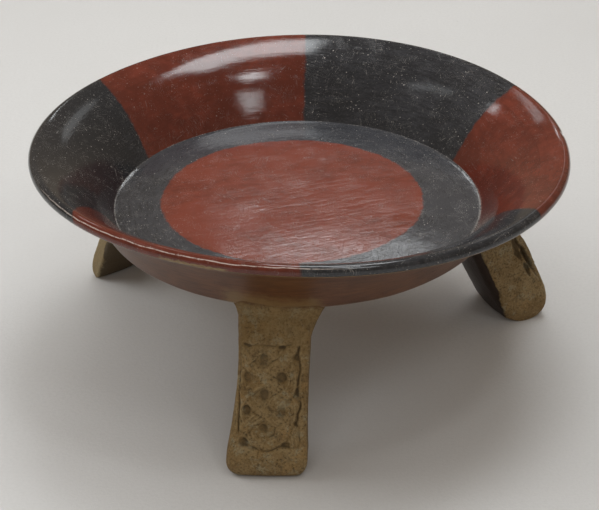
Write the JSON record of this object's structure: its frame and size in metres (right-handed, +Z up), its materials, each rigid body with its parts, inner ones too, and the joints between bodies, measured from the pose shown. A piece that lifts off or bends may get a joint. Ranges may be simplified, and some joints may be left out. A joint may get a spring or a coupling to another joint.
{
  "type": "tripod plate",
  "caption": "Shallow round earthenware plate with a flared wall and rolled lip, painted in red and black slip, standing on slab supports with a stamped plait.",
  "frame": {"origin": "on the surface it stands on, under the centre of the rim", "axes": "+Z up, square to the rim; -Y towards the front support; +X towards the right support"},
  "size_m": [0.24, 0.24, 0.1082],
  "materials": {
    "floor_slip": "burnished red slip, with a black ring round it",
    "wall_slip": "burnished slip in alternating black and red fields",
    "rim_slip": "burnished slip in alternating black and red fields",
    "bare_clay": "unpolished buff clay, dark slip on the inner face",
    "luting_clay": "smoothed buff clay"
  },
  "bodies": {
    "root": {"floor_disc": "floor_slip", "wall_ring": "wall_slip", "rim_coil": "rim_slip", "support_front": "bare_clay", "luting_front": "luting_clay", "support_right": "bare_clay", "luting_right": "luting_clay", "support_left": "bare_clay", "luting_left": "luting_clay"}
  },
  "joints": []
}
